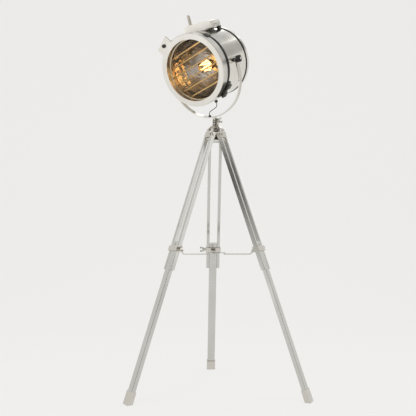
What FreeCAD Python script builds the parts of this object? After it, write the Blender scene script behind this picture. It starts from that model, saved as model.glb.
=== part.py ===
import FreeCAD, Part
import math
import os
import Sketcher

# Searchlight floor lamp on a folding tripod.
# Frame: +Z up, millimetres, origin on the floor under the hub's axis.
# The rear leg points along +Y and the two front legs to 210 and 330 degrees.

DIMENSIONS = {
    # tripod
    "hinge_height": 1117.0, "hinge_radius": 30.0, "leg_splay": 19.0,
    "rail_width": 13.0, "rail_depth": 18.0, "rail_top_drop": 24.0, "rail_length": 606.0, "rail_round": 1.5,
    "bar_width": 36.0, "bar_slack": 0.4, "bar_top_rise": 32.0, "bar_foot_gap": 14.0, "bar_round": 1.5,
    "stop_radius": 4.0, "stop_rise": 1.4, "stop_drop": 14.0,
    "lug_width": 36.0, "lug_radius": 13.0, "cheek_radius": 11.0, "cheek_gap": 0.4,
    "hinge_pin_radius": 4.0, "pin_fit": 0.05, "bolt_head_radius": 7.0, "bolt_head_height": 4.0,
    "bridge_top_drop": 16.0, "bridge_height": 8.0, "bridge_depth": 13.0,
    "clamp_rise": 92.0, "clamp_height": 23.0, "clamp_wall": 4.5,
    "clamp_boss_radius": 8.0, "clamp_boss_length": 7.0,
    "screw_radius": 3.0, "screw_fit": 0.08, "screw_tip_gap": 0.5,
    "wing_hub_radius": 5.5, "wing_hub_length": 9.0, "wing_span": 8.5, "wing_tip_radius": 4.5,
    "wing_thickness": 3.4, "wing_rise": 6.0,
    "ear_thickness": 4.0, "ear_reach": 16.0, "ear_radius": 7.0, "ear_pin_radius": 3.0,
    "arm_radius": 2.7, "arm_eye_radius": 6.0, "arm_eye_slack": 0.4, "arm_crank_in": 17.0, "arm_crank_drop": 14.0,
    "arm_bend_radius": 9.0, "arm_end_radius": 41.0,
    "ring_outer": 44.0, "ring_inner": 27.0, "ring_thickness": 4.0, "ring_gap": 0.9, "ring_edge": 1.0,
    "foot_wall": 2.6, "foot_height": 34.0,
    # hub and swivel
    "bell_rise": 14.0, "bell_height": 37.0, "bell_radius": 41.0, "bell_skirt": 11.0, "neck_radius": 13.5,
    "spigot_radius": 7.0, "spigot_fit": 0.06, "hub_floor_drop": 8.0, "hub_core_radius": 14.0,
    "nut_height": 9.0, "nut_radius": 11.0,
    "knuckle_rise": 18.0, "fork_radius": 13.5, "fork_ear_radius": 12.5, "fork_flange": 6.0,
    "fork_seat_gap": 0.3, "tongue_thickness": 9.0, "tongue_slack": 0.25, "tongue_radius": 9.5,
    "knuckle_screw_radius": 3.5,
    "head_pan": 37.0, "yoke_lean": 25.0, "drum_tilt": 27.0,
    # yoke
    "yoke_gap": 23.0, "yoke_arm": 49.0, "yoke_rise": 20.0, "band_thickness": 5.0, "band_width": 22.0,
    "tongue_bite": 1.0,
    "grommet_offset": 24.0, "grommet_radius": 6.0, "grommet_height": 4.0,
    # drum
    "drum_radius": 148.5, "shell_wall": 1.5, "drum_front": 49.0, "drum_back": 153.0,
    "front_bead": 2.0, "front_bead_length": 9.0, "rear_bead": 2.5, "rear_bead_length": 12.0,
    "mouth_inset": 12.5, "lip_thickness": 3.0, "rear_dome": 13.0, "rear_seat": 5.0,
    "cover_wall": 1.6, "cover_flat": 26.0,
    "pivot_radius": 13.0, "pivot_gap": 0.4, "stud_radius": 5.0, "stud_length": 24.0,
    "knob_radius": 15.0, "knob_length": 15.0, "knob_scallop": 5.5, "knob_gap": 0.5, "knob_lobes": 6.0,
    "vent_width": 140.0, "vent_depth": 80.0, "vent_height": 33.0, "vent_setback": 40.0, "vent_lift": 1.5,
    "vent_wall": 2.0, "vent_shoulder": 18.0, "vent_foot": 14.0, "vent_hole_radius": 2.6, "vent_hole_pitch": 12.0,
    "vent_slot_width": 90.0, "vent_slot_depth": 46.0,
    "handle_radius": 7.0, "handle_length": 43.0, "handle_offset": 38.0, "handle_inset": 10.0,
    "gland_setback": 38.0, "gland_flange_radius": 9.0, "gland_flange": 7.0, "gland_ball_radius": 7.0,
    "gland_length": 23.0, "lead_radius": 1.6, "lead_lead_out": 18.5, "lead_sag": 1.2,
    "gasket_proud": 1.5, "gasket_width": 9.0, "gasket_height": 3.4, "trim_height": 1.6, "trim_width": 4.0,
    # light inside
    "reflector_inset": 10.5, "reflector_front": 46.0, "reflector_depth": 114.0, "reflector_wall": 1.5,
    "reflector_hole": 20.0,
    "holder_radius": 19.0, "holder_length": 46.0, "holder_stem_radius": 8.0, "socket_radius": 13.4,
    "socket_depth": 26.0, "cap_radius": 13.0, "cap_length": 24.0,
    "bulb_radius": 30.0, "bulb_length": 84.0, "bulb_wall": 1.0, "bulb_neck_radius": 12.5,
    # door
    "door_front": 89.0, "door_depth": 36.0, "door_overhang": 5.5, "door_wall": 3.0, "door_face": 5.0,
    "door_face_width": 24.0, "door_inner_wall": 2.5, "door_inner_depth": 30.0, "door_chamfer": 1.5,
    "door_hinge_angle": 45.0, "hinge_reach": 9.0, "hinge_plane": 51.0, "barrel_radius": 6.0,
    "barrel_length": 62.0, "barrel_gap": 0.5, "hinge_bore": 2.5, "leaf_length": 24.0, "leaf_thickness": 4.0,
    "latch_angle": 130.0, "latch_width": 74.0, "latch_overhang": 30.0, "latch_thickness": 9.0,
    "latch_screw_reach": 13.0,
    "latch_hole_radius": 3.1, "latch_screw_radius": 3.0, "latch_head_radius": 8.0, "latch_head_height": 5.0,
    "lug_hole_radius": 4.4, "lug_block_width": 22.0, "lug_block_depth": 24.0, "lug_block_overhang": 23.0,
    "clip_angle": 54.0, "clip_width": 24.0, "clip_thickness": 3.0, "clip_gap": 0.6, "clip_overlap": 9.0,
    "clip_length": 26.0,
    "grille_gap": 0.5, "grille_rim_wall": 2.0, "grille_front": 57.0, "grille_depth": 22.0,
    "slat_count": 6.0, "slat_pitch": 36.0, "slat_thickness": 1.6, "slat_turn": 15.0, "slat_seat": 0.05,
}

doc = FreeCAD.newDocument("searchlight")
sheet = doc.addObject("Spreadsheet::Sheet", "Sizes")


class Size:
    """A length, angle or count of the sheet: its number, and the expression that gives it."""

    def __init__(self, number, text):
        self.number = float(number)
        self.text = text

    def __float__(self):
        return self.number

    def __add__(self, other):
        other = as_size(other)
        return Size(self.number + other.number, "(%s + %s)" % (self.text, other.text))

    def __sub__(self, other):
        other = as_size(other)
        return Size(self.number - other.number, "(%s - %s)" % (self.text, other.text))

    def __mul__(self, other):
        other = as_size(other)
        return Size(self.number * other.number, "(%s * %s)" % (self.text, other.text))

    def __truediv__(self, other):
        other = as_size(other)
        return Size(self.number / other.number, "(%s / %s)" % (self.text, other.text))

    def __radd__(self, other):
        return as_size(other) + self

    def __rsub__(self, other):
        return as_size(other) - self

    def __rmul__(self, other):
        return as_size(other) * self

    def __neg__(self):
        return as_size(0) - self


def as_size(value):
    """A plain number as a Size."""
    if isinstance(value, Size):
        return value
    return Size(value, repr(float(value)))


def sheet_sizes():
    """Writes the driving dimensions into the sheet and returns them by name."""
    named = {}
    for row, (alias, number) in enumerate(DIMENSIONS.items(), start=1):
        sheet.set("A%d" % row, alias)
        sheet.set("B%d" % row, str(number))
        sheet.setAlias("B%d" % row, alias)
        named[alias] = Size(number, "Sizes." + alias)
    doc.recompute()
    return named


class Named:
    """The sizes as attributes."""

    def __init__(self, named):
        self.__dict__.update(named)


dim = Named(sheet_sizes())
dim.clamp_drop = dim.rail_top_drop + dim.rail_length - dim.clamp_rise
dim.bar_top_drop = dim.clamp_drop - dim.bar_top_rise
dim.bell_bottom = dim.hinge_height + dim.bell_rise
dim.bell_top = dim.bell_bottom + dim.bell_height
dim.hub_floor = dim.hinge_height - dim.hub_floor_drop
dim.knuckle_height = dim.bell_top + dim.knuckle_rise
dim.yoke_radius = dim.drum_radius + dim.yoke_gap + dim.band_thickness / 2
dim.mouth_radius = dim.drum_radius - dim.mouth_inset
dim.gasket_outer = dim.drum_radius + dim.gasket_proud
dim.reflector_radius = dim.drum_radius - dim.reflector_inset
dim.door_radius = dim.drum_radius + dim.door_overhang
dim.door_opening = dim.door_radius - dim.door_face_width
dim.grille_rim_outer = dim.door_opening - dim.grille_gap
dim.hinge_circle = dim.door_radius + dim.hinge_reach
dim.latch_reach = dim.door_radius + dim.latch_overhang
dim.latch_screw_circle = dim.door_radius + dim.latch_screw_reach
dim.lug_block_reach = dim.door_radius + dim.lug_block_overhang
ORIGIN = FreeCAD.Vector(0, 0, 0)
AXIS_X = FreeCAD.Vector(1, 0, 0)
AXIS_Y = FreeCAD.Vector(0, 1, 0)
AXIS_Z = FreeCAD.Vector(0, 0, 1)
FULL_TURN = 360.0
QUARTER = 90.0
LEG_AZIMUTHS = {"1": 90.0, "2": 210.0, "3": 330.0}
BOWL_STEPS = 7
GLOBE_ANGLES = (-48.0, -18.0, 12.0, 42.0, 68.0)
nodes = []


def vector(x, y, z):
    return FreeCAD.Vector(float(x), float(y), float(z))


def turn(axis, degrees):
    return FreeCAD.Placement(ORIGIN, FreeCAD.Rotation(axis, float(degrees)))


def shift(x, y, z):
    return FreeCAD.Placement(vector(x, y, z), FreeCAD.Rotation())


def sine(size):
    return math.sin(math.radians(float(size)))


def cosine(size):
    return math.cos(math.radians(float(size)))


def bind(thing, prop, size):
    """Ties one property to the sheet."""
    thing.setExpression(prop, as_size(size).text)


# ---------------------------------------------------------------- construction helpers

def box(name, low, high):
    """A box between two corners, each a triple of sizes."""
    made = doc.addObject("Part::Box", name)
    for prop, index in (("Length", 0), ("Width", 1), ("Height", 2)):
        bind(made, prop, as_size(high[index]) - as_size(low[index]))
    for letter, index in (("x", 0), ("y", 1), ("z", 2)):
        bind(made, "Placement.Base." + letter, as_size(low[index]))
    return made


def cylinder(name, radius, length, base, direction=AXIS_Z):
    """A cylinder from a base point along X, Y or Z, in either sense."""
    made = doc.addObject("Part::Cylinder", name)
    made.Placement = FreeCAD.Placement(ORIGIN, FreeCAD.Rotation(AXIS_Z, direction))
    bind(made, "Radius", radius)
    bind(made, "Height", length)
    for letter, value in zip("xyz", base):
        bind(made, "Placement.Base." + letter, as_size(value))
    return made


def fuse(name, pieces):
    made = doc.addObject("Part::MultiFuse", name)
    made.Shapes = pieces
    return made


def cut(name, base, tools):
    made = doc.addObject("Part::Cut", name)
    made.Base = base
    made.Tool = tools[0] if len(tools) == 1 else fuse(name + "_tools", tools)
    return made


def common(name, first, second):
    made = doc.addObject("Part::Common", name)
    made.Base = first
    made.Tool = second
    return made


def group(name, pieces):
    """Separate solids that share one node."""
    made = doc.addObject("Part::Compound", name)
    made.Links = pieces
    return made


def origin_plane(body, role):
    for feature in body.Origin.OriginFeatures:
        if feature.Role == role:
            return feature
    return None


def outline(sketch, points):
    """A closed outline of straight lines whose corners are all tied to the sheet."""
    first = sketch.GeometryCount
    count = len(points)
    for index, point in enumerate(points):
        following = points[(index + 1) % count]
        line = Part.LineSegment(vector(point[0], point[1], 0), vector(following[0], following[1], 0))
        sketch.addGeometry(line, False)
    for index, point in enumerate(points):
        edge = first + index
        following = first + (index + 1) % count
        sketch.addConstraint(Sketcher.Constraint("Coincident", edge, 2, following, 1))
        for kind, value, axis in (("DistanceX", point[0], -2), ("DistanceY", point[1], -1)):
            value = as_size(value)
            if value.number == 0:
                sketch.addConstraint(Sketcher.Constraint("PointOnObject", edge, 1, axis))
            else:
                place = sketch.addConstraint(Sketcher.Constraint(kind, -1, 1, edge, 1, value.number))
                sketch.setExpression("Constraints[%d]" % place, value.text)


def new_sketch(body, name, role):
    sketch = body.newObject("Sketcher::SketchObject", name)
    sketch.AttachmentSupport = [(origin_plane(body, role), "")]
    sketch.MapMode = "FlatFace"
    return sketch


def turned(name, points):
    """A body turned about Z from an outline of (radius, height) corners."""
    body = doc.addObject("PartDesign::Body", name)
    sketch = new_sketch(body, name + "_outline", "XZ_Plane")
    outline(sketch, points)
    spun = body.newObject("PartDesign::Revolution", name + "_turned")
    spun.Profile = sketch
    spun.ReferenceAxis = (sketch, ["V_Axis"])
    spun.Angle = FULL_TURN
    sketch.Visibility = False
    return body


def bars(name, rectangles, start, length, edge_round):
    """Bars along Z from rectangles (left, right, front, back), with rounded long edges."""
    body = doc.addObject("PartDesign::Body", name)
    sketch = new_sketch(body, name + "_section", "XY_Plane")
    for left, right, front, back in rectangles:
        outline(sketch, [(left, front), (right, front), (right, back), (left, back)])
    bind(sketch, "AttachmentOffset.Base.z", start)
    pad = body.newObject("PartDesign::Pad", name + "_bar")
    pad.Profile = sketch
    bind(pad, "Length", length)
    doc.recompute()
    long_edges = []
    for index, edge in enumerate(pad.Shape.Edges, start=1):
        along = edge.Vertexes[-1].Point.sub(edge.Vertexes[0].Point)
        if abs(along.x) < 1e-6 and abs(along.y) < 1e-6:
            long_edges.append("Edge%d" % index)
    rounded = body.newObject("PartDesign::Fillet", name + "_rounded")
    rounded.Base = (pad, long_edges)
    bind(rounded, "Radius", edge_round)
    return body


def rounded_route(points, radii):
    """Straight runs joined by tangent arcs of the given radii, as one wire."""
    edges = []
    start = points[0]
    for index in range(1, len(points) - 1):
        corner = points[index]
        back = points[index - 1].sub(corner).normalize()
        ahead = points[index + 1].sub(corner).normalize()
        half = (math.pi - back.getAngle(ahead)) / 2
        reach = radii[index - 1] * math.tan(half)
        arc_start = corner + back * reach
        arc_end = corner + ahead * reach
        toward = (back + ahead).normalize()
        middle = corner + toward * (radii[index - 1] / math.cos(half) - radii[index - 1])
        edges.append(Part.LineSegment(start, arc_start).toShape())
        edges.append(Part.Arc(arc_start, middle, arc_end).toShape())
        start = arc_end
    edges.append(Part.LineSegment(start, points[-1]).toShape())
    return Part.Wire(edges)


def tube(route, radius):
    """A round bar along a wire."""
    start = route.Edges[0].Vertexes[0].Point
    direction = route.Edges[0].tangentAt(route.Edges[0].FirstParameter)
    section = Part.Wire(Part.makeCircle(float(radius), start, direction))
    return route.makePipeShell([section], True, False)


def node(name, made, placement):
    """Names a finished sub-part and puts it in its place."""
    made.Label = name
    made.Placement = placement
    nodes.append(made)
    return made


def shape_node(name, shape, placement):
    made = doc.addObject("Part::Feature", name)
    made.Shape = shape
    made.Label = name
    made.Placement = placement
    nodes.append(made)
    return made


# ---------------------------------------------------------------- frames of the sub-parts

def leg_frame(azimuth):
    """Z up along the leg, X along the hinge pin, Y outward, origin on the hinge pin."""
    return turn(AXIS_Z, azimuth - QUARTER) * shift(0, dim.hinge_radius, dim.hinge_height) * turn(AXIS_X, dim.leg_splay)


PAN_FRAME = shift(0, 0, dim.knuckle_height) * turn(AXIS_Z, -dim.head_pan)
YOKE_FRAME = PAN_FRAME * turn(AXIS_X, dim.yoke_lean)
PIVOT_HEIGHT = dim.yoke_rise + dim.yoke_radius + dim.yoke_arm
PIVOT_FRAME = YOKE_FRAME * shift(0, 0, PIVOT_HEIGHT) * turn(AXIS_X, -dim.yoke_lean)
# head frame: X along the tilt axis, Y up, Z forward out of the drum's mouth
HEAD_FRAME = PIVOT_FRAME * turn(AXIS_X, dim.drum_tilt) * turn(AXIS_X, QUARTER)
HINGE_FRAME = HEAD_FRAME * turn(AXIS_Z, -dim.door_hinge_angle)
LATCH_FRAME = HEAD_FRAME * turn(AXIS_Z, dim.latch_angle)


# ---------------------------------------------------------------- hub

def hub():
    """The bell that carries the legs, its three hinge lugs and the bore of the swivel."""
    skirt_top = dim.bell_bottom + dim.bell_skirt
    shoulder = dim.neck_radius + (dim.bell_radius - dim.neck_radius) / 2
    bell = turned("hub_bell_turned", [
        (dim.spigot_radius + dim.spigot_fit, dim.hub_floor),
        (dim.hub_core_radius, dim.hub_floor),
        (dim.hub_core_radius, dim.bell_bottom),
        (dim.bell_radius - 1.5, dim.bell_bottom),
        (dim.bell_radius, dim.bell_bottom + 1.5),
        (dim.bell_radius, skirt_top),
        (dim.bell_radius - 2, skirt_top + 4),
        (shoulder + 5, skirt_top + 11),
        (shoulder - 3, skirt_top + 18),
        (dim.neck_radius + 2, dim.bell_top - 3),
        (dim.neck_radius + 1, dim.bell_top),
        (dim.spigot_radius + dim.spigot_fit, dim.bell_top),
    ])
    pieces = [bell]
    holes = []
    half = dim.lug_width / 2
    for leg, azimuth in LEG_AZIMUTHS.items():
        barrel = cylinder("lug_barrel_" + leg, dim.lug_radius, dim.lug_width,
                          (-half, dim.hinge_radius, dim.hinge_height), AXIS_X)
        root = box("lug_root_" + leg, (-half, dim.spigot_radius + 3, dim.hinge_height),
                   (half, dim.hinge_radius + dim.lug_radius, dim.bell_bottom + 2))
        web = box("lug_web_" + leg, (-half, dim.spigot_radius + 3, dim.hinge_height - 8),
                  (half, dim.hinge_radius, dim.hinge_height + 1))
        hole = cylinder("lug_hole_" + leg, dim.hinge_pin_radius + dim.pin_fit, dim.lug_width * 2,
                        (-dim.lug_width, dim.hinge_radius, dim.hinge_height), AXIS_X)
        lug = fuse("lug_" + leg, [barrel, root, web])
        lug.Placement = turn(AXIS_Z, azimuth - QUARTER)
        turned_hole = group("lug_bore_" + leg, [hole])
        turned_hole.Placement = turn(AXIS_Z, azimuth - QUARTER)
        pieces.append(lug)
        holes.append(turned_hole)
    bore = cylinder("hub_bore", dim.spigot_radius + dim.spigot_fit, dim.bell_top,
                    (0, 0, 0))
    solid = fuse("hub_solid", pieces)
    node("hub_bell", cut("hub_bell", solid, holes + [bore]), FreeCAD.Placement())


def hinge_bolts():
    """Three bolts through the hub lugs and the brackets' cheeks, with a head at each end."""
    outer = dim.lug_width / 2 + dim.cheek_gap + dim.rail_width
    bolts = []
    for leg, azimuth in LEG_AZIMUTHS.items():
        total = outer * 2 + dim.cheek_gap * 2
        shank = cylinder("bolt_shank_" + leg, dim.hinge_pin_radius, total + 2,
                         (-outer - dim.cheek_gap - 1, 0, 0), AXIS_X)
        right = cylinder("bolt_head_" + leg, dim.bolt_head_radius, dim.bolt_head_height,
                         (outer + dim.cheek_gap, 0, 0), AXIS_X)
        left = cylinder("bolt_nut_" + leg, dim.bolt_head_radius, dim.bolt_head_height,
                        (-outer - dim.cheek_gap - dim.bolt_head_height, 0, 0), AXIS_X)
        bolt = fuse("bolt_" + leg, [shank, right, left])
        bolt.Placement = leg_frame(azimuth)
        bolts.append(bolt)
    node("leg_hinge_bolts", group("leg_hinge_bolts", bolts), FreeCAD.Placement())


def swivel():
    """The fork that turns on the hub, with its spigot down through the bell and the nut under it."""
    flange_bottom = dim.bell_top + dim.fork_seat_gap
    spigot_end = dim.hub_floor - dim.nut_height
    half_slot = dim.tongue_thickness / 2 + dim.tongue_slack
    stem = turned("fork_stem", [
        (0, spigot_end - dim.knuckle_height),
        (dim.spigot_radius, spigot_end - dim.knuckle_height),
        (dim.spigot_radius, flange_bottom - dim.knuckle_height),
        (dim.fork_radius + 1.5, flange_bottom - dim.knuckle_height),
        (dim.fork_radius + 1.5, flange_bottom + 2.5 - dim.knuckle_height),
        (dim.fork_radius, flange_bottom + 4 - dim.knuckle_height),
        (dim.fork_radius, 0),
        (0, 0),
    ])
    column = cylinder("fork_column", dim.fork_radius, dim.fork_radius, (0, 0, 0))
    crown = cylinder("fork_crown", dim.fork_ear_radius, dim.fork_radius * 2, (-dim.fork_radius, 0, 0), AXIS_X)
    ears = common("fork_ears", column, crown)
    slot = box("fork_slot", (-half_slot, -dim.fork_radius * 2, flange_bottom + dim.fork_flange - dim.knuckle_height),
               (half_slot, dim.fork_radius * 2, dim.fork_radius * 2))
    bore = cylinder("fork_bore", dim.knuckle_screw_radius + dim.screw_fit, dim.fork_radius * 3,
                    (-dim.fork_radius * 1.5, 0, 0), AXIS_X)
    body = fuse("fork_body", [stem, ears])
    node("swivel_fork", cut("swivel_fork", body, [slot, bore]), PAN_FRAME)
    nut_top = dim.hub_floor - dim.fork_seat_gap
    nut = turned("swivel_nut", [
        (dim.spigot_radius, nut_top - dim.nut_height),
        (dim.nut_radius - 1, nut_top - dim.nut_height),
        (dim.nut_radius, nut_top - dim.nut_height + 1),
        (dim.nut_radius, nut_top),
        (dim.spigot_radius, nut_top),
    ])
    node("swivel_nut", nut, FreeCAD.Placement())


def wing_screw(name, shank_radius, shank_length, placement):
    """A wing screw: local Z points from the tip of the shank to the wings, 0 at the shoulder."""
    shank = cylinder(name + "_shank", shank_radius, shank_length, (0, 0, -shank_length))
    hub_body = cylinder(name + "_hub", dim.wing_hub_radius, dim.wing_hub_length, (0, 0, 0))
    half = dim.wing_thickness / 2
    pieces = [shank, hub_body]
    for side, sign in (("a", 1), ("b", -1)):
        tip = cylinder(name + "_tip_" + side, dim.wing_tip_radius, dim.wing_thickness,
                       (dim.wing_span * sign, half, dim.wing_hub_length + dim.wing_rise), -AXIS_Y)
        low = (dim.wing_hub_radius * 0.4, -half, dim.wing_rise * 0.3)
        high = (dim.wing_span + dim.wing_tip_radius * 0.4, half, dim.wing_rise * 0.3 + dim.wing_tip_radius * 1.6)
        if sign < 0:
            low, high = (-high[0], low[1], low[2]), (-low[0], high[1], high[2])
        web = box(name + "_web_" + side, low, high)
        pieces.extend([tip, web])
    node(name, fuse(name, pieces), placement)


# ---------------------------------------------------------------- legs

def bar_section():
    """Half width and depth of the sliding bar inside the rails and the clamp."""
    half_gap = dim.lug_width / 2 + dim.cheek_gap
    return half_gap - dim.bar_slack, dim.rail_depth / 2 - dim.bar_slack


def leg(number, azimuth):
    frame = leg_frame(azimuth)
    inner = dim.lug_width / 2 + dim.cheek_gap
    outer = inner + dim.rail_width
    half_depth = dim.rail_depth / 2
    rails = bars("leg_%s_rails" % number,
                 [(inner, outer, -half_depth, half_depth), (-outer, -inner, -half_depth, half_depth)],
                 -dim.rail_top_drop - dim.rail_length, dim.rail_length, dim.rail_round)
    node("leg_%s_rails" % number, rails, frame)
    top_bracket(number, frame, inner, outer)
    clamp(number, frame, outer, half_depth)
    lower_leg(number, frame)
    spreader_arm(number, frame, half_depth)


def top_bracket(number, frame, inner, outer):
    """Two cheeks on the hinge bolt, joined under the hub's lug, holding the rails' upper ends."""
    name = "leg_%s_top_bracket" % number
    half_depth = dim.rail_depth / 2
    cheeks = []
    for side, left in (("right", inner), ("left", -outer)):
        knuckle = cylinder("%s_%s_eye" % (name, side), dim.cheek_radius, dim.rail_width, (left, 0, 0), AXIS_X)
        strap = box("%s_%s_strap" % (name, side), (left, -half_depth, -dim.rail_top_drop),
                    (left + dim.rail_width, half_depth, 0))
        cheeks.extend([knuckle, strap])
    bridge = box(name + "_bridge", (-inner - 1, -dim.bridge_depth / 2, -dim.bridge_top_drop - dim.bridge_height),
                 (inner + 1, dim.bridge_depth / 2, -dim.bridge_top_drop))
    hole = cylinder(name + "_hole", dim.hinge_pin_radius + dim.pin_fit, outer * 4, (-outer * 2, 0, 0), AXIS_X)
    solid = fuse(name + "_solid", cheeks + [bridge])
    node(name, cut(name, solid, [hole]), frame)


def clamp(number, frame, outer, half_depth):
    """The collar round rails and bar, its screw boss and the two ears of the spreader's hinge."""
    name = "leg_%s_clamp" % number
    low = -dim.clamp_drop - dim.clamp_height / 2
    high = -dim.clamp_drop + dim.clamp_height / 2
    wall = dim.clamp_wall
    collar = box(name + "_collar", (-outer - wall, -half_depth - wall, low), (outer + wall, half_depth + wall, high))
    boss = cylinder(name + "_boss", dim.clamp_boss_radius, dim.clamp_boss_length + 1,
                    (-outer - wall - dim.clamp_boss_length, 0, -dim.clamp_drop), AXIS_X)
    hollow = box(name + "_hollow", (-outer, -half_depth, low - 1), (outer, half_depth, high + 1))
    hole = cylinder(name + "_screw_hole", dim.screw_radius + dim.screw_fit, dim.clamp_boss_length + wall * 2,
                    (-outer - wall - dim.clamp_boss_length - 1, 0, -dim.clamp_drop), AXIS_X)
    eye_half = dim.arm_eye_radius
    ear_y = -half_depth - dim.ear_reach
    pieces = [collar, boss]
    for side, left in (("right", eye_half + dim.arm_eye_slack), ("left", -eye_half - dim.arm_eye_slack - dim.ear_thickness)):
        ear = box("%s_%s_ear" % (name, side), (left, ear_y, -dim.clamp_drop - dim.ear_radius),
                  (left + dim.ear_thickness, -half_depth - 1, -dim.clamp_drop + dim.ear_radius))
        tip = cylinder("%s_%s_ear_tip" % (name, side), dim.ear_radius, dim.ear_thickness,
                       (left, ear_y, -dim.clamp_drop), AXIS_X)
        pieces.extend([ear, tip])
    pin_reach = eye_half + dim.arm_eye_slack + dim.ear_thickness + 1
    pin = cylinder(name + "_pin", dim.ear_pin_radius, pin_reach * 2, (-pin_reach, ear_y, -dim.clamp_drop), AXIS_X)
    solid = cut(name + "_body", fuse(name + "_solid", pieces), [hollow, hole])
    node(name, fuse(name, [solid, pin]), frame)
    shoulder = shift(-outer - wall - dim.clamp_boss_length - dim.cheek_gap, 0, -dim.clamp_drop)
    shank = wall + dim.clamp_boss_length + dim.cheek_gap - dim.screw_tip_gap
    wing_screw("leg_%s_thumbscrew" % number, dim.screw_radius, shank,
               frame * shoulder * turn(AXIS_Y, -QUARTER) * turn(AXIS_Z, 35.0))


def lower_leg(number, frame):
    """The bar that slides between the rails, and the foot cut flat to the floor."""
    half_width, half_depth = bar_section()
    floor = dim.hinge_height.number / cosine(dim.leg_splay)
    bar_bottom = floor - float(dim.bar_foot_gap) - float(half_depth) * sine(dim.leg_splay)
    bar = bars("leg_%s_lower_bar" % number, [(-half_width, half_width, -half_depth, half_depth)],
               -bar_bottom, bar_bottom - dim.bar_top_drop, dim.bar_round)
    node("leg_%s_lower_bar" % number, bar, frame)
    reach = half_depth + dim.stop_rise
    stop = cylinder("leg_%s_stop" % number, dim.stop_radius, reach * 2,
                    (0, reach, -dim.bar_top_drop - dim.stop_drop), -AXIS_Y)
    inside = cylinder("leg_%s_stop_core" % number, dim.stop_radius + 1, half_depth * 2,
                      (0, half_depth, -dim.bar_top_drop - dim.stop_drop), -AXIS_Y)
    node("leg_%s_stop_screw" % number, cut("leg_%s_stop_screw" % number, stop, [inside]), frame)
    name = "leg_%s_foot" % number
    wall = dim.foot_wall
    top = as_size(-bar_bottom) + dim.foot_height
    shoe = box(name + "_shoe", (-half_width - wall, -half_depth - wall, as_size(-floor - 20)),
               (half_width + wall, half_depth + wall, top))
    socket = box(name + "_socket", (-half_width, -half_depth, -bar_bottom), (half_width, half_depth, top + 1))
    # everything below the floor, in the leg's own frame
    ground = doc.addObject("Part::Box", name + "_ground")
    for prop in ("Length", "Width", "Height"):
        bind(ground, prop, dim.bar_width * 6)
    half_block = float(dim.bar_width * 3)
    reach = dim.hinge_height.number * sine(dim.leg_splay) / cosine(dim.leg_splay)
    ground.Placement = turn(AXIS_X, -float(dim.leg_splay)) * shift(
        -half_block, reach - half_block, -half_block * 2 - dim.hinge_height.number)
    node(name, cut(name, shoe, [socket, ground]), frame)


def arm_hinge(half_depth):
    """The spreader hinge in the leg's frame."""
    return vector(0, -half_depth - dim.ear_reach, -dim.clamp_drop)


def spreader_arm(number, frame, half_depth):
    """A cranked rod from the clamp's ears to under the centre ring, drawn upright and then placed."""
    name = "spreader_arm_" + number
    splay = float(dim.leg_splay)
    hinge = turn(AXIS_X, splay).multVec(arm_hinge(half_depth))
    radial = float(dim.hinge_radius) + hinge.y
    level = -float(dim.arm_crank_drop)
    tip = float(dim.arm_end_radius) - radial
    points = [vector(0, 0, 0), vector(0, -float(dim.arm_crank_in), level), vector(0, tip, level)]
    rod = tube(rounded_route(points, [float(dim.arm_bend_radius)]), dim.arm_radius)
    eye = Part.makeCylinder(float(dim.arm_eye_radius), 2 * float(dim.arm_eye_radius),
                            vector(-dim.arm_eye_radius, 0, 0), AXIS_X)
    end = Part.makeSphere(float(dim.arm_radius) - 0.02, points[-1])
    hole = Part.makeCylinder(float(dim.ear_pin_radius + dim.pin_fit), 4 * float(dim.arm_eye_radius),
                             vector(-dim.arm_eye_radius * 2, 0, 0), AXIS_X)
    shape = rod.fuse([eye, end]).cut(hole).removeSplitter()
    upright = frame * FreeCAD.Placement(arm_hinge(half_depth), FreeCAD.Rotation(AXIS_X, -splay))
    shape_node(name, shape, upright)


def spreader_ring():
    """The flat ring that lies over the three arms' ends."""
    hinge = turn(AXIS_X, dim.leg_splay).multVec(arm_hinge(dim.rail_depth / 2))
    arm_level = dim.hinge_height.number + hinge.z - float(dim.arm_crank_drop)
    low = arm_level + float(dim.arm_radius + dim.ring_gap)
    edge = dim.ring_edge
    ring = turned("spreader_ring", [
        (dim.ring_inner, low), (dim.ring_outer - edge, low), (dim.ring_outer, low + edge),
        (dim.ring_outer, low + dim.ring_thickness - edge), (dim.ring_outer - edge, low + dim.ring_thickness),
        (dim.ring_inner, low + dim.ring_thickness),
    ])
    node("spreader_ring", ring, FreeCAD.Placement())


# ---------------------------------------------------------------- yoke

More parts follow.
